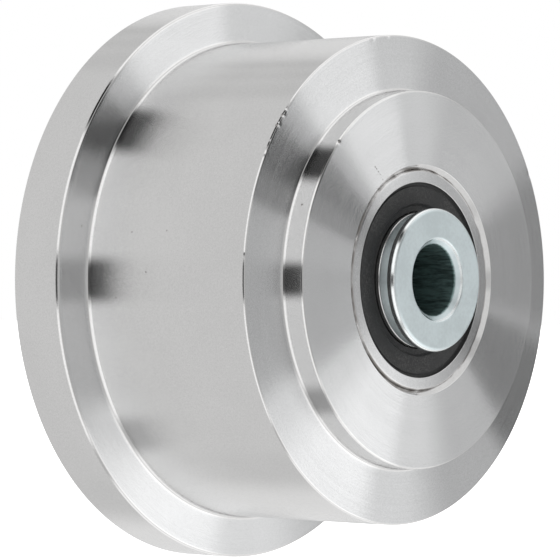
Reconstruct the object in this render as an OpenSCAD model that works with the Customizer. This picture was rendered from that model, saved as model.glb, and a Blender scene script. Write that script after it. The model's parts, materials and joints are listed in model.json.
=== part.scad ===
// Flanged track wheel: turned steel wheel on two sealed ball bearings with flanged axle bushes.
// The wheel's axis lies along Y, the boss side faces -Y, and the origin is the middle of the axle bore.

/* [Wheel] */
// Rolling diameter of the tread
tread_d = 88.9; // [80:0.1:110]
// Width of the tread from the flange to its free edge
tread_w = 36.6; // [30:0.1:45]
// Diameter over the flange
flange_d = 104.4; // [98:0.1:130]
// Thickness of the flange
flange_t = 10.9; // [8:0.1:14]
// Diameter of the raised hub boss
boss_d = 68.4; // [52:0.1:74]
// Height of the boss above the wheel's front face
boss_h = 4.5; // [2:0.1:8]
// Fillet where the tread meets the flange
root_fillet = 1.0; // [0.3:0.1:2]
// Fillet around the foot of the boss
boss_fillet = 0.8; // [0.2:0.1:1]
// Rounding of both flange edges
flange_round = 0.7; // [0.2:0.1:1.5]
// Bevel on the tread's free edge and the boss edge
edge_bevel = 0.4; // [0.1:0.05:0.6]

/* [Hub] */
// Depth of each bearing face below the hub face
bearing_recess = 0.4; // [0.2:0.1:1.5]
// Bevel at the mouth of each bearing bore
mouth_bevel = 0.85; // [0.3:0.05:1.2]
// Height of the shoulder each outer ring is pressed against
bearing_shoulder = 2; // [1.5:0.1:3]

/* [Bearing] */
// Outside diameter of the bearing
bearing_od = 40; // [39:0.5:42]
// Bore of the bearing
bearing_id = 17; // [16:0.5:18]
// Width of the bearing
bearing_w = 12; // [12:0.5:14]
// Corner radius of the outer ring
ring_round = 0.6; // [0.3:0.1:0.8]
// Bevel on the inner ring's corners
inner_bevel = 0.3; // [0.1:0.05:0.5]
// Width of the outer ring's visible face
ring_face_w = 2.35; // [2:0.05:2.5]
// Ball diameter
ball_d = 6.75; // [6.4:0.05:6.9]
// Number of balls in one bearing
ball_count = 8; // [6:1:8]
// Thickness of the pressed cage
cage_t = 0.6; // [0.4:0.1:0.7]
// Width of the cage ribbon
cage_w = 2.3; // [2:0.1:2.5]
// Shank diameter of a cage rivet
rivet_d = 1; // [0.8:0.1:1.2]
// Thickness of a seal
seal_t = 1.05; // [0.8:0.05:1.1]
// Depth of the seal's face below the ring faces
seal_recess = 0.45; // [0.4:0.05:0.5]
// Extra depth of the seal's inner lip
lip_step = 0.45; // [0.3:0.05:0.6]

/* [Bush and spacer] */
// Diameter of the axle the wheel runs on
axle_d = 12.7; // [12:0.1:13]
// Outside diameter of the bush's flange
head_d = 25.9; // [23:0.1:28]
// Thickness of the bush's flange
head_t = 1.7; // [1.4:0.1:2.5]
// Height the bush's flange stands above the hub face
head_rise = 3.45; // [2.5:0.05:6]
// Diameter of the collar between the flange and the inner ring
collar_d = 24; // [20:0.1:24.4]
// Rounding of the flange's outer rim
head_round = 0.8; // [0.3:0.1:1]
// Rounding of the flange's inner rim
under_round = 0.35; // [0.2:0.05:0.4]
// Bevel at the mouth of the axle bore
axle_bevel = 1.2; // [0.5:0.1:1.5]
// Space left between the two bush stems
bush_gap = 1; // [0.5:0.1:3]
// Wall of the spacer tube between the inner rings
spacer_wall = 2.6; // [1.5:0.1:2.8]

/* [Clearances] */
// Radial play of the axle in the bushes
axle_play = 0.05; // [0.01:0.01:0.1]
// Space between a ball and either race
race_play = 0.1; // [0.05:0.01:0.15]
// Space between a ball and its cage pocket
pocket_play = 0.1; // [0.05:0.01:0.15]
// Space between a seal's lip and the inner ring
lip_play = 0.15; // [0.1:0.01:0.25]
// Radial play of the spacer tube on the bush stems
spacer_play = 0.1; // [0.05:0.01:0.2]

/* [Hidden] */
$fn = 96;
eps = 0.01;
hub_w = flange_t + tread_w + boss_h;
hub_z = hub_w / 2;
flange_z = flange_t - hub_z;
tread_z = flange_z + tread_w;
tread_r = tread_d / 2;
flange_r = flange_d / 2;
boss_r = boss_d / 2;
ring_r = bearing_od / 2;
ring_z = hub_z - bearing_recess;
half_w = bearing_w / 2;
bearing_z = ring_z - half_w;
shoulder_z = ring_z - bearing_w;
ball_r = ball_d / 2;
pitch_r = (bearing_od + bearing_id) / 4;
race_r = 0.52 * ball_d;
outer_race_r = pitch_r + ball_r + race_play;
inner_race_r = pitch_r - ball_r - race_play;
outer_land_r = pitch_r + 0.326 * ball_d;
inner_land_r = pitch_r - 0.296 * ball_d;
seat_r = ring_r - ring_face_w;
seal_top = half_w - seal_recess;
seal_low = seal_top - seal_t;
seal_rim_z = seal_top - 0.3;
seal_r = seat_r + 0.3;
seal_lip_r = inner_land_r + lip_play;
pocket_r = ball_r + pocket_play;
bore_r = axle_d / 2 + axle_play;
stem_r = bearing_id / 2;
head_r = head_d / 2;
head_z = hub_z + head_rise;
spacer_r = stem_r + spacer_play;

// Lays a shape built along +Z down so that its +Z end faces the front
module along_axle() {
  rotate([90, 0, 0]) children();
}

// Puts a bearing piece in the front hub mouth (side 1) or the rear one (side -1), outer face outwards
module in_hub(side) {
  along_axle()
    rotate([side < 0 ? 180 : 0, 0, 0])
      translate([0, 0, bearing_z]) children();
}

// The sliver that rounds the convex profile corner at (x, z); sx and sz point out of the material
module corner_cut(x, z, r, sx, sz) {
  difference() {
    translate([x - (sx > 0 ? r : eps), z - (sz > 0 ? r : eps)]) square(r + eps);
    translate([x - sx * r, z - sz * r]) circle(r);
  }
}

// The sliver that fills the concave profile corner at (x, z) with a fillet; both sides open towards +
module corner_fill(x, z, r) {
  difference() {
    translate([x - eps, z - eps]) square(r + eps);
    translate([x + r, z + r]) circle(r);
  }
}

// Half section of the wheel, radius across and axle upwards
module wheel_section() {
  bore_r = ring_r - bearing_shoulder;
  difference() {
    union() {
      polygon([
        [bore_r, -shoulder_z],
        [ring_r, -shoulder_z],
        [ring_r, mouth_bevel - hub_z],
        [ring_r + mouth_bevel, -hub_z],
        [flange_r, -hub_z],
        [flange_r, flange_z],
        [tread_r, flange_z],
        [tread_r, tread_z - edge_bevel],
        [tread_r - edge_bevel, tread_z],
        [boss_r, tread_z],
        [boss_r, hub_z - edge_bevel],
        [boss_r - edge_bevel, hub_z],
        [ring_r + mouth_bevel, hub_z],
        [ring_r, hub_z - mouth_bevel],
        [ring_r, shoulder_z],
        [bore_r, shoulder_z]
      ]);
      corner_fill(tread_r, flange_z, root_fillet);
      corner_fill(boss_r, tread_z, boss_fillet);
    }
    corner_cut(flange_r, flange_z, flange_round, 1, 1);
    corner_cut(flange_r, -hub_z, flange_round, 1, -1);
  }
}

module wheel() {
  color("silver") along_axle() rotate_extrude() wheel_section();
}

// Axle bush: the stem carries the inner ring, the collar clamps it and the flange bears on the fork
module bush() {
  head_low = head_z - head_t;
  difference() {
    rotate_extrude() {
      difference() {
        union() {
          translate([0, bush_gap / 2]) square([stem_r, head_z - bush_gap / 2]);
          translate([0, ring_z]) square([collar_d / 2, head_z - ring_z]);
          translate([0, head_low]) square([head_r, head_t]);
        }
        corner_cut(head_r, head_z, head_round, 1, 1);
        corner_cut(head_r, head_low, under_round, 1, -1);
      }
    }
    cylinder(r = bore_r, h = 3 * head_z, center = true);
    translate([0, 0, head_z - axle_bevel])
      cylinder(r1 = bore_r, r2 = bore_r + axle_bevel + eps, h = axle_bevel + eps);
  }
}

module front_bush() {
  color("lightsteelblue") along_axle() bush();
}

module rear_bush() {
  color("lightsteelblue") along_axle() rotate([180, 0, 0]) bush();
}

// Tube that keeps the two inner rings apart when the axle is tightened
module bearing_spacer() {
  color("gray")
    along_axle()
      difference() {
        cylinder(r = spacer_r + spacer_wall, h = 2 * shoulder_z, center = true);
        cylinder(r = spacer_r, h = 3 * shoulder_z, center = true);
      }
}

// Outer ring with its race, its lands and a snap groove for each seal
module outer_ring() {
  rotate_extrude() {
    difference() {
      polygon([
        [ring_r, -half_w],
        [ring_r, half_w],
        [seat_r, half_w],
        [seat_r, seal_rim_z],
        [seal_r, seal_rim_z],
        [seal_r, seal_low],
        [outer_land_r, seal_low],
        [outer_land_r, -seal_low],
        [seal_r, -seal_low],
        [seal_r, -seal_rim_z],
        [seat_r, -seal_rim_z],
        [seat_r, -half_w]
      ]);
      translate([outer_race_r - race_r, 0]) circle(race_r);
      corner_cut(ring_r, half_w, ring_round, 1, 1);
      corner_cut(ring_r, -half_w, ring_round, 1, -1);
    }
  }
}

// Inner ring with its race; the seal lips run on its outside
module inner_ring() {
  r = stem_r;
  b = inner_bevel;
  rotate_extrude() {
    difference() {
      polygon([
        [r, b - half_w],
        [r + b, -half_w],
        [inner_land_r - b, -half_w],
        [inner_land_r, b - half_w],
        [inner_land_r, half_w - b],
        [inner_land_r - b, half_w],
        [r + b, half_w],
        [r, half_w - b]
      ]);
      translate([inner_race_r + race_r, 0]) circle(race_r);
    }
  }
}

// Repeats a shape on the pitch circle, offset by a share of the spacing
module on_pitch(share = 0) {
  for (i = [0 : ball_count - 1])
    rotate([0, 0, (i + share) * 360 / ball_count])
      translate([pitch_r, 0, 0]) children();
}

module balls() {
  on_pitch() sphere(r = ball_r);
}

// One pressed half of the riveted ribbon cage: flats between half-round pockets
module cage_half() {
  shell_r = pocket_r + cage_t;
  difference() {
    intersection() {
      union() {
        cylinder(r = pitch_r + cage_w, h = cage_t);
        on_pitch() sphere(r = shell_r);
      }
      difference() {
        cylinder(r = pitch_r + cage_w / 2, h = 2 * shell_r);
        translate([0, 0, -1]) cylinder(r = pitch_r - cage_w / 2, h = 2 * shell_r + 2);
      }
    }
    on_pitch() sphere(r = pocket_r);
    on_pitch(0.5) cylinder(d = rivet_d, h = 4 * cage_t, center = true);
  }
}

// Rivets through the flats, a head on both sides
module cage_rivets() {
  on_pitch(0.5) {
    cylinder(d = rivet_d, h = 2 * cage_t, center = true);
    for (end = [-1, 1])
      translate([0, 0, end * 1.3 * cage_t])
        cylinder(d = 1.8 * rivet_d, h = 0.6 * cage_t, center = true);
  }
}

// Moulded seal: rim snapped into the outer ring, body, and a lip set lower beside the inner ring
module seal() {
  rim_top = seal_rim_z - 0.05;
  body_r = seat_r - 0.6;
  lip_end = seal_lip_r + 1;
  rotate_extrude()
    polygon([
      [seal_lip_r, seal_low],
      [seal_r, seal_low],
      [seal_r, rim_top],
      [body_r, rim_top],
      [body_r - 0.1, seal_top],
      [lip_end + lip_step, seal_top],
      [lip_end, seal_top - lip_step],
      [seal_lip_r, seal_top - lip_step]
    ]);
}

module front_outer_ring() {
  color("gainsboro") in_hub(1) outer_ring();
}

module front_inner_ring() {
  color("gainsboro") in_hub(1) inner_ring();
}

module front_balls() {
  color("whitesmoke") in_hub(1) balls();
}

module front_cage_outer() {
  color("darkgray") in_hub(1) cage_half();
}

module front_cage_inner() {
  color("darkgray") in_hub(1) mirror([0, 0, 1]) cage_half();
}

module front_cage_rivets() {
  color("dimgray") in_hub(1) cage_rivets();
}

module front_outer_seal() {
  color("black") in_hub(1) seal();
}

module front_inner_seal() {
  color("black") in_hub(1) mirror([0, 0, 1]) seal();
}

module rear_outer_ring() {
  color("gainsboro") in_hub(-1) outer_ring();
}

module rear_inner_ring() {
  color("gainsboro") in_hub(-1) inner_ring();
}

module rear_balls() {
  color("whitesmoke") in_hub(-1) balls();
}

module rear_cage_outer() {
  color("darkgray") in_hub(-1) cage_half();
}

module rear_cage_inner() {
  color("darkgray") in_hub(-1) mirror([0, 0, 1]) cage_half();
}

module rear_cage_rivets() {
  color("dimgray") in_hub(-1) cage_rivets();
}

module rear_outer_seal() {
  color("black") in_hub(-1) seal();
}

module rear_inner_seal() {
  color("black") in_hub(-1) mirror([0, 0, 1]) seal();
}

wheel();
front_bush();
rear_bush();
bearing_spacer();
front_outer_ring();
front_inner_ring();
front_balls();
front_cage_outer();
front_cage_inner();
front_cage_rivets();
front_outer_seal();
front_inner_seal();
rear_outer_ring();
rear_inner_ring();
rear_balls();
rear_cage_outer();
rear_cage_inner();
rear_cage_rivets();
rear_outer_seal();
rear_inner_seal();
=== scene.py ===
# %% [markdown]
# # A flanged track wheel
# A turned steel wheel for a track: one guide flange, a plain tread and a raised hub with a sealed ball
# bearing and a zinc-plated bush at each end. The packed CAD model is the fixed frame. Almost every piece is a
# body of revolution, so this lesson spins smooth sections round the axle and spends the rest of its effort
# on turned-steel finishes.

# %% Load the frame
import json
import math

import bpy
import numpy as np
from mathutils import Matrix, Vector

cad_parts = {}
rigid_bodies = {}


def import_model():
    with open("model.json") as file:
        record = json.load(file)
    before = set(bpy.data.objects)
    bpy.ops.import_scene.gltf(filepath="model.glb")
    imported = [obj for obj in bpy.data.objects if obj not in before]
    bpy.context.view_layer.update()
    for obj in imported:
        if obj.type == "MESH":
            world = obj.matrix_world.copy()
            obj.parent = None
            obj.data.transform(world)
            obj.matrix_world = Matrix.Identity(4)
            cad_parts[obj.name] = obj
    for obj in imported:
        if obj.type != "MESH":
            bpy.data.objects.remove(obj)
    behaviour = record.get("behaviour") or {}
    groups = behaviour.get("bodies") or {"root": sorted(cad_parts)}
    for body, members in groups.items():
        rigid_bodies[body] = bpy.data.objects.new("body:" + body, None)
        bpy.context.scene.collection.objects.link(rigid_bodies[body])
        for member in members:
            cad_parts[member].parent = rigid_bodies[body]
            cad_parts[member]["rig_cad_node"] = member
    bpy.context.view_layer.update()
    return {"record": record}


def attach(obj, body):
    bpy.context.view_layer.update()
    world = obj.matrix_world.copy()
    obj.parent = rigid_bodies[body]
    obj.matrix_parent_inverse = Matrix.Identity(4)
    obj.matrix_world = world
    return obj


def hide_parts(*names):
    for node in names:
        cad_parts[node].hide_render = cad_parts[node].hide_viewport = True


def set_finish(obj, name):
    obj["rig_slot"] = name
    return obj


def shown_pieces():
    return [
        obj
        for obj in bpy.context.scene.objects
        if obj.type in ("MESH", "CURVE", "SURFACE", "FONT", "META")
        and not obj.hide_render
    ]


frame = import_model()

# %% [markdown]
# The sizes repeat the CAD source in millimetres. Along the axle, 0 is the middle of the axle bore and + is
# towards the boss side, which faces -Y in the frame. Comparing a few of them with the frame shows at once
# whether the section and the solid still agree.

# %% Sizes of the real pieces
MM = 0.001
HUB, FLANGE_FACE, TREAD_EDGE = 26.0, -15.1, 21.5     # places of the hub face, flange face and tread edge
TREAD_R, FLANGE_R, BOSS_R, SHOULDER_R = 44.45, 52.2, 34.2, 18.0
RING_R, STEM_R = 20.0, 8.5
BEARING_FACE, BEARING_HALF = 25.6, 6.0
BEARING_MIDDLE = BEARING_FACE - BEARING_HALF
SHOULDER = BEARING_FACE - 2 * BEARING_HALF
HEAD_R, HEAD_FACE, HEAD_LOW, COLLAR_R, BORE_R = 12.95, 29.45, 27.75, 12.0, 6.4
MOUTH = 0.85                                         # bevel round the bearing seat

# %% [markdown]
# A turned piece is described by its half section: corner points in (radius, along the axle), each with a
# rounding. The rounded outline carries its own normals, so flat faces stay flat and every small round catches
# a thin highlight, which is what makes machined metal look machined. A modifier could bevel a plain mesh, but
# then the flats shade unevenly.

# %% Round the corners of a half section
def rounded_section(corners, steps):
    """Closed outline through (radius, along, rounding) corners listed anticlockwise. Each corner becomes an
    arc that touches both edges: it starts rounding * tan(turn / 2) before the corner, and its normal turns
    evenly from one edge's to the next. Returns rows of radius, along, and the outward normal's two parts."""
    data = np.array(corners, float)
    c, rounding = data[:, :2], data[:, 2:]
    d0, d1 = c - np.roll(c, 1, 0), np.roll(c, -1, 0) - c
    d0 /= np.linalg.norm(d0, axis=1, keepdims=True)
    d1 /= np.linalg.norm(d1, axis=1, keepdims=True)
    turn = np.arctan2(d0[:, 0] * d1[:, 1] - d0[:, 1] * d1[:, 0], (d0 * d1).sum(1))
    sign = np.sign(turn)[:, None]
    n0 = np.stack([d0[:, 1], -d0[:, 0]], 1)
    centre = c - d0 * rounding * np.tan(np.abs(turn) / 2)[:, None] - sign * rounding * n0
    a = turn[:, None] * np.linspace(0, 1, steps)
    nr = n0[:, :1] * np.cos(a) - n0[:, 1:] * np.sin(a)
    na = n0[:, :1] * np.sin(a) + n0[:, 1:] * np.cos(a)
    n = np.stack([nr, na], 2)
    p = centre[:, None] + (sign * rounding)[:, None] * n
    return np.concatenate([p, n], 2).reshape(-1, 4)


SPACER = [
    # radius, along, rounding
    (8.6, -SHOULDER, 0.1), (11.2, -SHOULDER, 0.2), (11.2, SHOULDER, 0.2), (8.6, SHOULDER, 0.1),
]
print("the spacer tube's outline, with 8 rows to a corner, has", len(rounded_section(SPACER, 8)), "rows")

# %% [markdown]
# Handling leaves nicks on the edges of a steel wheel. A nick needs points close together where it lies and
# nowhere else, so the outline gets a few guard rows beside each edge. Subdividing the whole wheel would do
# the same with many more faces.

# %% Guard rows beside the edges
LONG_RUN = 3.0                    # millimetres; a shorter straight run needs no guard rows
GUARDS = np.array([0.5, 1.3])     # millimetres in from each end of a straight run


def guarded(rows):
    """The same outline with extra rows a little way in from both ends of every long straight run, so that a
    dent at the edge stays there: each new row is interpolated at its distance s along the outline."""
    closed = np.vstack([rows, rows[:1]])
    lengths = np.linalg.norm(np.diff(closed[:, :2], axis=0), axis=1)
    s = np.concatenate([[0.0], np.cumsum(lengths)])
    long = np.diff(s) > LONG_RUN
    extra = np.concatenate([(s[:-1][long, None] + GUARDS).ravel(), (s[1:][long, None] - GUARDS).ravel()])
    at = np.sort(np.concatenate([s[:-1], extra]))
    return np.stack([np.interp(at, s, closed[:, k]) for k in range(4)], 1)


print("with guard rows it has", len(guarded(rounded_section(SPACER, 8))))

# %% [markdown]
# Spinning the section gives a grid of points: one direction runs round the axle and the other along the
# section, and both close on themselves, so the shell has no seam. Blender's Screw modifier can spin a profile
# too, but a grid in numpy lets every point carry its exact normal.

# %% A closed grid as a mesh
def grid_mesh(name, points, normals):
    """A mesh from an (along, round, 3) grid that closes both ways; face (i, j) joins rows i and i+1 and
    columns j and j+1."""
    m, n = points.shape[:2]
    i, j = np.meshgrid(np.arange(m), np.arange(n), indexing="ij")
    i2, j2 = (i + 1) % m, (j + 1) % n
    faces = np.stack([i * n + j, i * n + j2, i2 * n + j2, i2 * n + j], 2).reshape(-1, 4)
    mesh = bpy.data.meshes.new(name)
    mesh.from_pydata(points.reshape(-1, 3), [], faces)
    mesh.polygons.foreach_set("use_smooth", np.ones(len(faces), bool))
    mesh.normals_split_custom_set_from_vertices(normals.reshape(-1, 3))
    mesh.update()
    piece = bpy.data.objects.new(name, mesh)
    bpy.context.scene.collection.objects.link(piece)
    return piece


def place_on(angle, radius, along):
    """A point in the frame, in mm, from its angle round the axle in degrees, its radius and its place along
    the axle: (radius cos angle, -along, radius sin angle)."""
    t = np.radians(angle)
    return np.array([radius * np.cos(t), -along, radius * np.sin(t)])


print("the top of the tread's edge is at", place_on(90.0, TREAD_R, TREAD_EDGE).round(2), "mm")

# %% [markdown]
# A dent presses the points in along the normal, and the slope of the dent turns the normals, so that the nick
# catches the light. A dented piece also crowds its columns on the nicked side, where the camera looks.

# %% Spin a section round the axle
UNNICKED = -38.0     # degrees: the middle of the stretch that has no nicks, where the columns are far apart
CROWDING = 0.6


def turned(name, corners, body, node, slot, around=360, side=1, steps=8, dents=()):
    """Spins a rounded section: x = r cos t, y = -along, z = r sin t. Side -1 is the same piece turned end for
    end. A dent of a given depth and size lowers a point by h = depth * exp(-(distance / size)^2) and tilts
    its normal by the slope of h. With dents, t becomes t + crowding * sin(t - unnicked)."""
    rows = rounded_section(corners, steps)
    rows = guarded(rows) if dents else rows
    r, along, nr, na = (rows[:, k, None] for k in range(4))
    t = np.linspace(0, 2 * np.pi, around, endpoint=False)[None]
    t = t + (CROWDING * np.sin(t - np.radians(UNNICKED)) if dents else 0.0)
    points = np.stack([r * np.cos(t), -along * side + 0 * t, r * np.sin(t) * side], 2)
    normals = np.stack([nr * np.cos(t), -na * side + 0 * t, nr * np.sin(t) * side], 2)
    smooth = points.copy()
    for angle, radius, place, depth, size in dents:
        away = smooth - place_on(angle, radius, place)
        h = depth * np.exp(-(away ** 2).sum(2, keepdims=True) / size ** 2)
        points = points - normals * h
        normals = normals - 2 * h * away / size ** 2
    normals /= np.linalg.norm(normals, axis=2, keepdims=True)
    piece = grid_mesh(name, points * MM, normals)
    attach(piece, body)
    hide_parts(node)
    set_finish(piece, slot)
    print(f"{name}: {len(piece.data.polygons)} faces")


print(f"dented pieces have columns {(1 + CROWDING) / (1 - CROWDING):.0f} times closer on the nicked side")

# %% [markdown]
# The wheel is one turned piece. Its edges were broken with a touch of the tool, so each rounding is a few
# tenths of a millimetre, with wider fillets at the foot of the boss and the flange. Handling has left nicks
# and small burrs along the free edge of the tread and one on the boss.

# %% The wheel
WHEEL = [
    # radius, along, rounding
    (RING_R, -SHOULDER, 0.1), (SHOULDER_R, -SHOULDER, 0.1), (SHOULDER_R, SHOULDER, 0.1),
    (RING_R, SHOULDER, 0.1), (RING_R, HUB - MOUTH, 0.1), (RING_R + MOUTH, HUB, 0.12), (BOSS_R, HUB, 0.45),
    (BOSS_R, TREAD_EDGE, 0.8), (TREAD_R, TREAD_EDGE, 0.45), (TREAD_R, FLANGE_FACE, 1.0),
    (FLANGE_R, FLANGE_FACE, 0.7), (FLANGE_R, -HUB, 0.7), (RING_R + MOUTH, -HUB, 0.12),
    (RING_R, MOUTH - HUB, 0.1),
]
DENTS = [
    # angle round the axle, radius, place along the axle, depth (below 0 for a burr), size
    (139.6, TREAD_R, TREAD_EDGE, 0.09, 0.35), (138.4, TREAD_R, TREAD_EDGE, -0.05, 0.3),
    (142.4, TREAD_R, TREAD_EDGE, 0.1, 0.4), (147.5, TREAD_R, TREAD_EDGE, 0.03, 0.5),
    (150.6, TREAD_R, TREAD_EDGE, 0.03, 0.4), (173.8, TREAD_R, TREAD_EDGE, -0.06, 0.35),
    (134.8, BOSS_R, HUB, 0.07, 0.35), (96.0, TREAD_R, TREAD_EDGE, 0.08, 0.6),
    (101.5, TREAD_R, TREAD_EDGE, 0.06, 0.5), (27.0, TREAD_R, TREAD_EDGE, 0.08, 0.6),
]
turned("turned_wheel", WHEEL[::-1], "wheel", "wheel", "wheel_steel", 640, 1, 7, DENTS)

# %% [markdown]
# A sealed bearing has an outer and an inner ring with a groove for the balls, and a rubber seal in a step at
# each side. The bush has a stem in the bearing, a collar that stands on the inner ring and a head outside.
# Each is one outline, so one function makes them all.

# %% Outlines of the bearing and the bush
SEAT_R, SEAL_R, LAND_R, RACE_R = 17.65, 17.95, 16.45, 17.35
INNER_R, INNER_RACE_R, SEAL_BORE_R = 12.252, 11.2, 12.402
SEAL_BACK, SEAL_STEP, RACE_EDGE = 4.5, 5.25, 2.6
CONE = 0.25                     # the collar is this much wider at its foot and narrower under the head
LEAD_IN = 1.2                   # round mouth of the bore
OUTER_RING = [
    (RING_R, -BEARING_HALF, 0.6), (RING_R, BEARING_HALF, 0.6), (SEAT_R, BEARING_HALF, 0.12),
    (SEAT_R, SEAL_STEP, 0.05), (SEAL_R, SEAL_STEP, 0.05), (SEAL_R, SEAL_BACK, 0.05),
    (LAND_R, SEAL_BACK, 0.08), (LAND_R, RACE_EDGE, 0.08), (RACE_R, 1.35, 0.9), (RACE_R, -1.35, 0.9),
    (LAND_R, -RACE_EDGE, 0.08), (LAND_R, -SEAL_BACK, 0.08), (SEAL_R, -SEAL_BACK, 0.05),
    (SEAL_R, -SEAL_STEP, 0.05), (SEAT_R, -SEAL_STEP, 0.05), (SEAT_R, -BEARING_HALF, 0.12),
]
INNER_RING = [
    (INNER_R, -BEARING_HALF, 0.3), (INNER_R, -RACE_EDGE, 0.08), (INNER_RACE_R, -1.45, 1.0),
    (INNER_RACE_R, 1.45, 1.0), (INNER_R, RACE_EDGE, 0.08), (INNER_R, BEARING_HALF, 0.3),
    (STEM_R, BEARING_HALF, 0.3), (STEM_R, -BEARING_HALF, 0.3),
]
SEAL = [
    (SEAL_BORE_R, SEAL_BACK, 0.05), (SEAL_R, SEAL_BACK, 0.05), (SEAL_R, 5.2, 0.1), (17.05, 5.2, 0.1),
    (16.95, 5.55, 0.12), (13.85, 5.55, 0.25), (13.4, 5.1, 0.15), (SEAL_BORE_R, 5.1, 0.1),
]
BUSH = [
    (BORE_R, 0.5, 0.1), (STEM_R, 0.5, 0.2), (STEM_R, BEARING_FACE, 0.1),
    (COLLAR_R + CONE, BEARING_FACE, 0.15), (COLLAR_R - CONE, HEAD_LOW, 0.1), (HEAD_R, HEAD_LOW, 0.34),
    (HEAD_R, HEAD_FACE, 0.8),
    (BORE_R + LEAD_IN, HEAD_FACE, 0.5), (BORE_R, HEAD_FACE - LEAD_IN, 0.6),
]
outlines = {"outer ring": OUTER_RING, "inner ring": INNER_RING, "seal": SEAL, "bush": BUSH}
for title, outline in outlines.items():
    print(f"{title}: {len(outline)} corners")

# %% [markdown]
# Both bearings are made of the same turned pieces, and the rear one faces the other way. Only the ends of the
# rings and the outer seals can be seen, but the hidden pieces are finished too, because the model can be
# taken apart.

# %% Bearing rings, seals and bushes
def moved(corners, along, flip=1):
    """The same section moved along the axle; flip -1 mirrors it first, and the order turns round to stay
    anticlockwise."""
    return [(r, a * flip + along, rounding) for r, a, rounding in corners][::flip]


outer, inner = moved(OUTER_RING, BEARING_MIDDLE), moved(INNER_RING, BEARING_MIDDLE)
shown, hidden = moved(SEAL, BEARING_MIDDLE), moved(SEAL, BEARING_MIDDLE, -1)
for side, end in ((1, "front"), (-1, "rear")):
    turned(f"{end}_bush_turned", BUSH, "axle_sleeve", f"{end}_bush", "bush_zinc", 256, side)
    turned(f"{end}_outer_race", outer, "wheel", f"{end}_outer_ring", "bearing_steel", 256, side)
    turned(f"{end}_inner_race", inner, "axle_sleeve", f"{end}_inner_ring", "bearing_steel", 192, side)
    turned(f"{end}_seal_shown", shown, "wheel", f"{end}_outer_seal", "seal_rubber", 256, side)
    turned(f"{end}_seal_hidden", hidden, "wheel", f"{end}_inner_seal", "seal_rubber", 192, side)
turned("spacer_tube", SPACER, "axle_sleeve", "bearing_spacer", "spacer_steel", 128)

# %% [markdown]
# Shader maths reads best as plain expressions, so one small class wraps a node socket and turns + - * / into
# Math nodes. Placing every node by hand would need three lines for each sign.

# %% Shader expressions
class Shade:
    """A value in a material: arithmetic on it adds Math nodes, and node() adds any other node."""

    def __init__(self, tree, socket):
        self.tree, self.socket = tree, socket

    def node(self, kind, inputs=(), out=0, **settings):
        """Adds a node, sets its settings, then fills or links its sockets by name or number."""
        made = self.tree.nodes.new(kind)
        for key, value in settings.items():
            setattr(made, key, value)
        for key, value in dict(inputs).items():
            if isinstance(value, Shade):
                self.tree.links.new(value.socket, made.inputs[key])
            else:
                made.inputs[key].default_value = value
        return Shade(self.tree, made.outputs[out])

    def math(self, operation, *values):
        return self.node("ShaderNodeMath", dict(enumerate(values)), operation=operation)

    def vector(self, operation, *values, out=0):
        return self.node("ShaderNodeVectorMath", dict(enumerate(values)), out, operation=operation)

    def length(self):
        return self.vector("LENGTH", self, out=1)

    def scaled(self, factor):
        """A vector times a number."""
        return self.node("ShaderNodeVectorMath", {0: self, "Scale": factor}, operation="SCALE")

    def ramp(self, low, high):
        """0 below low, 1 above high, smooth between; with low above high it falls instead."""
        return self.node("ShaderNodeMapRange", {"Value": self, "From Min": low, "From Max": high},
                         interpolation_type="SMOOTHSTEP", clamp=True)

    def mix(self, first, second):
        """A colour between first and second, where this value is the share of second."""
        return self.node("ShaderNodeMix", {0: self, 6: first, 7: second}, 2, data_type="RGBA")

    def tinted(self, tint):
        """This colour times another."""
        return self.node("ShaderNodeMix", {0: 1.0, 6: self, 7: tint}, 2, data_type="RGBA",
                         blend_type="MULTIPLY")

    def noise(self, scale, detail=2.0, dimensions="3D", rough=0.5, out=0):
        """Noise from 0 to 1 over this vector; output 1 is three such noises as a colour."""
        inputs = {"Vector": self, "Scale": scale, "Detail": detail, "Roughness": rough}
        return self.node("ShaderNodeTexNoise", inputs, out, noise_dimensions=dimensions)

    def __add__(self, other):
        return self.math("ADD", self, other)

    def __radd__(self, other):
        return self.math("ADD", other, self)

    def __sub__(self, other):
        return self.math("SUBTRACT", self, other)

    def __rsub__(self, other):
        return self.math("SUBTRACT", other, self)

    def __mul__(self, other):
        return self.math("MULTIPLY", self, other)

    def __rmul__(self, other):
        return self.math("MULTIPLY", other, self)

    def __truediv__(self, other):
        return self.math("DIVIDE", self, other)

    def __rtruediv__(self, other):
        return self.math("DIVIDE", other, self)


signs = [name for name in vars(Shade) if name.startswith("__r")]
print("a number may also stand first in:", ", ".join(signs))

# %% [markdown]
# Every finish starts in the same way: a Principled shader, the place on the piece in Object coordinates and
# the surface normal. On a turned piece, the radius and the place along the axle say almost everything.

# %% Helpers for the finishes
def grey(level, warm=0.0):
    """A nearly neutral colour; warm above 0 leans to yellow and below 0 to blue."""
    return (level * (1 + warm), level, level * (1 - warm), 1.0)


def new_material(name):
    """A Principled material: (material, its shader node, Shades on the Object coordinates and the normal)."""
    material = bpy.data.materials.new(name)
    material.use_nodes = True
    tree = material.node_tree
    shader = tree.nodes["Principled BSDF"]
    place = tree.nodes.new("ShaderNodeTexCoord")
    print("finish:", name)
    return material, shader, Shade(tree, place.outputs["Object"]), Shade(tree, place.outputs["Normal"])


def feed(shader, **values):
    """Sets or links the shader's own sockets; underscores stand for spaces."""
    for key, value in values.items():
        socket = shader.inputs[key.replace("_", " ")]
        if isinstance(value, Shade):
            value.tree.links.new(value.socket, socket)
        else:
            socket.default_value = value


def parts(vector):
    """The x, y and z of a vector as three values."""
    split = vector.node("ShaderNodeSeparateXYZ", {0: vector}).socket.node
    return [Shade(vector.tree, split.outputs[k]) for k in range(3)]


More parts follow.
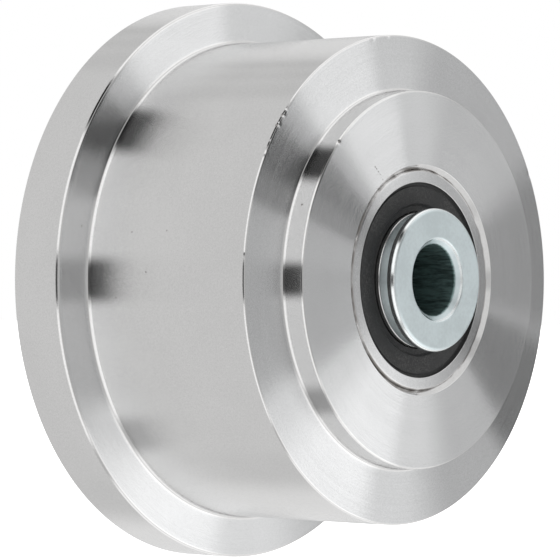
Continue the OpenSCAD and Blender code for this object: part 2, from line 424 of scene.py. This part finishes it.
def round_axle(place):
    """The radius of a place, its y and the direction round the axle, (z, 0, -x), which is as long as the
    radius."""
    x, y, z = parts(place)
    tangent = place.node("ShaderNodeCombineXYZ", {0: z, 2: x * -1.0})
    return tangent.length(), y, tangent


def end_face(radius, y):
    """1 on the end face of the tread, outside the boss in the front half, and 0 elsewhere."""
    return radius.ramp(BOSS_R * MM, (BOSS_R + 0.5) * MM) * y.ramp(-10.0 * MM, -20.0 * MM)


print("a warm grey looks like", grey(0.5, 0.02))

# %% [markdown]
# A lathe leaves fine rings round the axle. They tilt the surface to and fro across the ring and never along
# it, so a light is smeared across the rings and a flat turned face shows bright and dark fans. The shader has
# an anisotropy of its own, but a tilted normal can be baked and also shows single marks. So here noise that
# depends only on the radius and the place along the axle tilts the normal in the plane of the axle.

# %% Lathe marks
OUTWARD = 0.21       # the marks on a face lean outwards on average, as the tool's feed leaves them
END_MORE = 0.07      # and on the end face of the tread a little more
END_FINER = 0.2      # while the marks there spread less
FINE = 2.0           # brings the fine marks' spread from 0.5 to 1
COARSE = 0.22        # millimetres between the marks that the eye can tell apart
COARSE_SIDE, COARSE_FACE = 0.6, 0.4     # their strength on a side, and what a face adds to it
GRAIN, GRAIN_SCALE = 0.02, 6000.0       # unevenness of the metal itself, in every direction


def lathe_marks(place, normal, face, lean):
    """The normal tilted across the marks: normal + (normal x round) * slope, with round = axle x place. The
    slope is noise in (radius, along): the sum of three random numbers, which is close to a bell curve, plus
    marks that the eye can tell apart, plus a steady lean outwards on the faces."""
    radius, y, tangent = round_axle(place)
    ny = parts(normal)[1]
    across = place.node("ShaderNodeCombineXYZ", {0: radius, 1: y})
    dots = across.node("ShaderNodeTexWhiteNoise", {"Vector": across}, 1, noise_dimensions="2D")
    fine = dots.vector("DOT_PRODUCT", dots, (1, 1, 1), out=1) - 1.5
    coarse = across.noise(1.0 / (COARSE * MM), 1.0, "2D") - 0.5
    end = end_face(radius, y)
    marks = fine * FINE + coarse * (face * COARSE_FACE + COARSE_SIDE)
    slope = marks * lean * (1.0 - end * END_FINER) - ny * face * (end * END_MORE + OUTWARD)
    tilt = normal.vector("CROSS_PRODUCT", normal, tangent.vector("NORMALIZE", tangent))
    grain = place.noise(GRAIN_SCALE, 1.0, out=1)
    grain = grain.vector("SUBTRACT", grain, (0.5, 0.5, 0.5)).scaled(GRAIN)
    tilted = normal.vector("ADD", normal.vector("ADD", normal, tilt.scaled(slope)), grain)
    return tilted.node("ShaderNodeVectorTransform", {0: tilted.vector("NORMALIZE", tilted)},
                       vector_type="NORMAL", convert_from="OBJECT", convert_to="WORLD")


print(f"marks on a face lean {math.degrees(math.atan(OUTWARD)):.0f} degrees outwards")

# %% [markdown]
# Bare turned steel is nearly white, a touch cooler on its faces than on its sides, and its faces are painted
# a little darker as shade. It has small dark specks, and painted shade lies in a broken line in the seam
# round the bearing. Each is a mask over the metal's colour, made from distances to a point or to a radius, so
# that no picture has to be wrapped round the wheel.

# %% Turned steel
TINT = 0.006                            # how far faces lean to blue, and sides to yellow
FACE_SHADE, END_SHADE = 0.05, 0.06          # painted shade: faces a little darker, and the tread's end face darker again
# dark brown of the specks and of the painted shade in the seam
DARK_SPECK_AND_SHADE = (0.12, 0.1, 0.085, 1.0)
SEAM_SHADE_EDGES = (0.3 * MM, 0.1 * MM)      # distances from the seam at which the painted shade starts and is full


def turned_steel(name, base, face_lean, side_lean, face_rough, side_rough, specks=(), seam_shade_radius=0.0):
    """Bare turned steel; faces square to the axle and sides along it have their own lean and roughness. A
    speck is a small dark, dull spot round a point, and the last argument is the radius of a broken line of
    painted shade in the seam."""
    material, shader, place, normal = new_material(name)
    ny = parts(normal)[1]
    upright = ny.math("ABSOLUTE", ny)
    face, wall = upright.ramp(0.9, 0.99), upright.ramp(0.3, 0.1)
    radius, y, tangent = round_axle(place)
    # a broken line of painted shade in the seam round the bearing, then the dark specks
    off = radius - seam_shade_radius * MM
    specks_and_seam_shade = off.math("ABSOLUTE", off).ramp(*SEAM_SHADE_EDGES) * place.noise(300.0, 2.0).ramp(0.3, 0.6) * 0.7
    for angle, speck_radius, along, size, amount in specks:
        middle = tuple(place_on(angle, speck_radius, along) * MM)
        gap = place.vector("DISTANCE", place, middle, out=1)
        specks_and_seam_shade = specks_and_seam_shade.math("MAXIMUM", specks_and_seam_shade, gap.ramp(size * MM, size * 0.4 * MM) * amount)
    cloud = place.noise(60.0, 3.0)
    mottle = (cloud * 0.4 + place.noise(3500.0, 2.0) * 0.6).ramp(0.3, 0.7)
    metal = mottle.mix(grey(base * 0.94), grey(base * 1.04))
    metal = metal.tinted(face.mix(grey(1.0, TINT), grey(1.0, -TINT)))
    # painted shade: the faces are darkened, and the tread's end face more
    metal = metal.scaled(1.0 - face * FACE_SHADE - end_face(radius, y) * face * END_SHADE)
    rough = face * (face_rough - side_rough) + side_rough + (cloud - 0.5) * 0.04 + specks_and_seam_shade * 0.3
    lean = face * face_lean + wall * side_lean
    feed(shader, Metallic=1.0, Base_Color=specks_and_seam_shade.mix(metal, DARK_SPECK_AND_SHADE), Roughness=rough,
         Normal=lathe_marks(place, normal, face, lean))
    return material


SPECKS = [
    # angle round the axle, radius, place along the axle, size, strength
    (157.5, BOSS_R, 23.76, 0.28, 0.7), (169.0, TREAD_R, -5.17, 0.25, 0.4),
    (168.8, TREAD_R, 3.05, 0.22, 0.35), (178.2, TREAD_R, -1.16, 0.25, 0.45),
    (184.0, TREAD_R, -8.37, 0.25, 0.45), (168.2, 47.0, FLANGE_FACE, 0.25, 0.5),
    (142.8, TREAD_R, TREAD_EDGE - 0.3, 0.4, 0.6), (139.8, TREAD_R, TREAD_EDGE - 0.3, 0.35, 0.6),
    (134.8, BOSS_R - 0.2, HUB - 0.1, 0.35, 0.6), (124.7, 24.4, HUB, 0.25, 0.45),
    (124.4, 23.9, HUB, 0.22, 0.4), (124.0, 23.2, HUB, 0.22, 0.45), (123.6, 22.5, HUB, 0.2, 0.35),
    (123.3, 21.4, HUB, 0.2, 0.4),
]
finishes = {
    "wheel_steel": turned_steel("turned_steel", 0.755, 0.21, 0.11, 0.08, 0.1, SPECKS, RING_R - 0.05),
    "bearing_steel": turned_steel("ground_bearing_steel", 0.66, 0.08, 0.08, 0.22, 0.22, seam_shade_radius=RING_R - 0.1),
    "spacer_steel": turned_steel("drawn_tube", 0.5, 0.08, 0.08, 0.4, 0.4),
    "ball_steel": turned_steel("ball_polish", 0.8, 0.0, 0.0, 0.08, 0.08),
    "cage_steel": turned_steel("pressed_sheet", 0.6, 0.03, 0.03, 0.4, 0.4),
    "rivet_steel": turned_steel("rivet_wire", 0.5, 0.03, 0.03, 0.4, 0.4),
}

# %% [markdown]
# The bush is zinc plated: a fine even grain with a cool tint instead of lathe marks. The rim of its head and
# the lip of its bore carry a painted highlight in near-white and are smoother. Inside the bore the colour
# turns green and much darker, painted shade in the hollow, in streaks along the axle.

# %% Zinc plate
# near-white painted highlight on the rounded rim and lip
HIGHLIGHT_WHITE = (0.86, 0.89, 0.89, 1.0)
STREAKS = (1.0, 0.15, 1.0)              # stretches the bore's noise along the axle


def plated(name, colour, bore_shade_colour, face_rough, side_rough):
    """Zinc plate with a fine grain and a painted highlight on its rounded rim and lip; near the bore's radius
    it turns to the bore's darker colour, painted shade drawn out along it."""
    material, shader, place, normal = new_material(name)
    ny = parts(normal)[1]
    face = ny.math("ABSOLUTE", ny).ramp(0.6, 0.95)
    radius = round_axle(place)[0]
    bore = radius.ramp((BORE_R + 0.3) * MM, (BORE_R + 0.05) * MM)
    rim = radius.ramp((HEAD_R - 0.7) * MM, (HEAD_R - 0.4) * MM)
    lip = radius.ramp((BORE_R + 0.7) * MM, (BORE_R + 0.9) * MM)
    lip = lip * radius.ramp((BORE_R + 1.7) * MM, (BORE_R + 1.4) * MM)
    highlight_mask = (rim + lip) * (1.0 - face)
    grain = place.noise(1500.0, 2.0)
    cloud = place.noise(180.0, 3.0)
    drawn = place.vector("MULTIPLY", place, STREAKS).noise(1100.0, 4.0, rough=0.7)
    light = tuple(min(1.0, c * 1.12) for c in colour[:3]) + (1.0,)
    # inside the bore the colour is darker still in streaks: painted shade in the hollow
    streak_shade = tuple(c * 0.35 for c in bore_shade_colour[:3]) + (1.0,)
    # the painted highlight on the rim and lip, over the grained plate
    plate = highlight_mask.mix((cloud * 0.6 + grain * 0.4).ramp(0.35, 0.65).mix(colour, light), HIGHLIGHT_WHITE)
    rough = face * (face_rough - side_rough) + side_rough + bore * 0.15 - highlight_mask * 0.25 + (grain - 0.5) * 0.15
    feed(shader, Metallic=1.0, Base_Color=bore.mix(plate, drawn.ramp(0.35, 0.65).mix(streak_shade, bore_shade_colour)),
         Roughness=rough,
         Normal=grain.node("ShaderNodeBump", {"Strength": 0.25, "Distance": 0.03 * MM, "Height": grain}))
    return material


# the bore's green is darkened as painted shade
ZINC, BORE_SHADE_GREEN = (0.665, 0.74, 0.755, 1.0), (0.34, 0.48, 0.47, 1.0)
finishes["bush_zinc"] = plated("zinc_plate", ZINC, BORE_SHADE_GREEN, 0.4, 0.42)

# %% [markdown]
# The seal is moulded black rubber. Fine dust sits in its grain, more in some places than in others, so the
# product of a fine and a broad noise decides how much of the dust's grey shows.

# %% Rubber
material, shader, place, normal = new_material("seal_rubber")
dust = place.noise(4200.0, 2.0)
dusty = dust.ramp(0.4, 0.75) * place.noise(220.0, 3.0).ramp(0.2, 0.7)
feed(shader, Base_Color=dusty.mix(grey(0.021, -0.03), grey(0.07, 0.02)), Roughness=0.55,
     Normal=dust.node("ShaderNodeBump", {"Strength": 0.4, "Distance": 0.04 * MM, "Height": dust}))
finishes["seal_rubber"] = material

# %% [markdown]
# Every piece says which slot it belongs to, and the pieces that are still plain CAD nodes have their slot in
# the record. Looking the finish up by slot keeps one list for both.

# %% Give every piece a finish
slots = {row["node"]: row["material_slot"] for row in frame["record"]["subparts"]}
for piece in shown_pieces():
    slot = piece.get("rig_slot") or slots[piece["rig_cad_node"]]
    piece.data.materials.clear()
    piece.data.materials.append(finishes[slot])

# %% [markdown]
# The camera stands where the photograph was taken from: level with the axle, 50 degrees round from it, with
# a long lens. Its axes are written as a matrix, so that no target object is needed.

# %% Camera
VIEW_ANGLE, LENS, SENSOR = math.radians(50.14), 208.57, 36.0
DISTANCE, OFFSET = 588.6 * MM, 22.33 * MM     # from the middle of the tread's edge, back and to the left
ahead = Vector((math.sin(VIEW_ANGLE), math.cos(VIEW_ANGLE), 0))
right = Vector((math.cos(VIEW_ANGLE), -math.sin(VIEW_ANGLE), 0))
camera_data = bpy.data.cameras.new("camera")
camera_data.lens, camera_data.sensor_width, camera_data.clip_start = LENS, SENSOR, 0.01
camera = bpy.data.objects.new("camera", camera_data)
bpy.context.scene.collection.objects.link(camera)
axes = Matrix((right, Vector((0, 0, 1)), -ahead)).transposed().to_4x4()
axes.translation = Vector((0, -TREAD_EDGE * MM, 0)) - right * OFFSET - ahead * DISTANCE
camera.matrix_world = axes
bpy.context.scene.camera = camera
print("camera at", [round(value, 3) for value in axes.translation], "metres")

# %% [markdown]
# The wheel stands in a light tent: white cloth all round, with lighter and darker cards in it. Metal shows
# its surroundings, so the cards make the fans on the turned faces. Lamps could do the same, but their
# places would have to be found by trial. Here each card is a wedge of the tent that is given by the angle at
# which it shows on the wheel.

# %% Directions in the tent
scene = bpy.context.scene
scene.view_settings.view_transform = "Standard"
world = bpy.data.worlds.new("tent")
scene.world = world
world.use_nodes = True
tree = world.node_tree
direction = Shade(tree, tree.nodes.new("ShaderNodeTexCoord").outputs["Generated"])
turn = direction.vector("SUBTRACT", direction, tuple(ahead))
across = turn.vector("MULTIPLY", turn, (1, 0, 1))
back = 0.0 - parts(turn)[1]
steep = across.length() / back.math("MAXIMUM", back, 0.01)
across = across.vector("NORMALIZE", across)


def card(angle, half_width, soft):
    """1 inside a wedge of the tent and 0 outside. A surface shows the direction v where its normal points
    along v - ahead, so the angle of that vector round the axle is the angle at which the wedge shows."""
    a = math.radians(angle)
    gap = across.vector("DOT_PRODUCT", across, (math.cos(a), 0, math.sin(a)), out=1)
    gap = gap.math("ARCCOSINE", gap.math("MINIMUM", gap, 1.0))
    return gap.ramp(math.radians(half_width + soft), math.radians(half_width - soft))


print("the tent is seen along", [round(value, 3) for value in ahead])

# %% [markdown]
# How far the normal has to lean to show a direction says which surface shows it. The faces show what needs
# a small lean. A corner shows what is seen after two bounces, off the tread and the flange or off the boss
# and the end face, and the tread shows what needs the largest lean.

# %% Light tent
TENT = 0.707
DARKEST = 0.02
ALL_ROUND = 190.0     # a half width that takes in every angle
FACE_CARDS = [
    # angle at which it shows, half width, softness of the edge (degrees), brightness added
    (0.0, ALL_ROUND, 5.0, -0.1),
    (8.0, 22.0, 8.0, -0.25),
    (328.0, 15.0, 4.0, -0.35),
    (254.0, 28.0, 10.0, 0.36),
    (235.0, 24.0, 4.0, 0.35),
    (191.0, 16.0, 4.0, -0.06),
    (149.0, 11.0, 1.5, -0.3),
    (142.0, 9.0, 3.0, -0.14),
    (114.0, 15.0, 3.0, 0.3),
    (103.0, 24.0, 8.0, 0.22),
]
CORNER_CARDS = [
    (0.0, ALL_ROUND, 5.0, 0.45),
    (220.0, 5.0, 3.0, -0.6),
    (180.0, 5.0, 2.0, -1.08),
    (141.5, 6.5, 2.5, -1.15),
]
TREAD_CARDS = [
    (105.0, 8.0, 4.0, 0.1),
    (118.0, 2.0, 2.0, -0.1),
    (123.0, 2.0, 2.0, -0.09),
    (129.0, 3.0, 2.0, -0.07),
    (231.0, 6.0, 3.0, -0.03),
    (252.0, 14.0, 6.0, 0.15),
]
on_faces = steep.ramp(0.95, 0.7) * (steep.ramp(0.0, 0.5) * 0.5 + 0.7)
in_corners = steep.ramp(0.8, 1.3) * steep.ramp(4.5, 3.5)
on_tread = steep.ramp(3.5, 5.0)
level = TENT
for cards, mask in ((FACE_CARDS, on_faces), (CORNER_CARDS, in_corners), (TREAD_CARDS, on_tread)):
    for *where, amount in cards:
        level = card(*where) * mask * amount + level
camera_ray = Shade(tree, tree.nodes.new("ShaderNodeLightPath").outputs["Is Camera Ray"])
level = level.math("MAXIMUM", level, DARKEST)
level = camera_ray.node("ShaderNodeMix", {0: camera_ray, 2: level, 3: 1.0})
tree.nodes["Background"].inputs["Color"].default_value = (1, 1, 1, 1)
tree.links.new(level.socket, tree.nodes["Background"].inputs["Strength"])
print(len(FACE_CARDS + CORNER_CARDS + TREAD_CARDS), "cards in a tent of brightness", TENT)

# %% [markdown]
# The floor is pale paper just under the wheel. It takes the wheel's shadow, fades to the white background
# further out, and leaves the reflections to the tent. A shadow catcher would need compositing, so the paper
# glows white where it should vanish.

# %% Floor
FLOOR, FLOOR_HALF = -0.06, 3.0
FADE = (0.065, 0.11)                    # metres from the middle of the wheel
floor_mesh = bpy.data.meshes.new("floor")
floor_corners = [(x * FLOOR_HALF, y * FLOOR_HALF, FLOOR) for x, y in ((-1, -1), (1, -1), (1, 1), (-1, 1))]
floor_mesh.from_pydata(floor_corners, [], [(0, 1, 2, 3)])
floor = bpy.data.objects.new("floor", floor_mesh)
scene.collection.objects.link(floor)
material, shader, place, normal = new_material("floor_paper")
glow = place.length().ramp(*FADE).mix(grey(0.0), grey(1.0))
feed(shader, Base_Color=grey(0.9), Roughness=0.9, Emission_Color=glow, Emission_Strength=1.0)
floor_mesh.materials.append(material)
floor.visible_glossy = floor.visible_diffuse = floor.visible_shadow = floor.visible_transmission = False
print(f"floor {-FLOOR / MM - FLANGE_R:.1f} mm under the flange")

# %% [markdown]
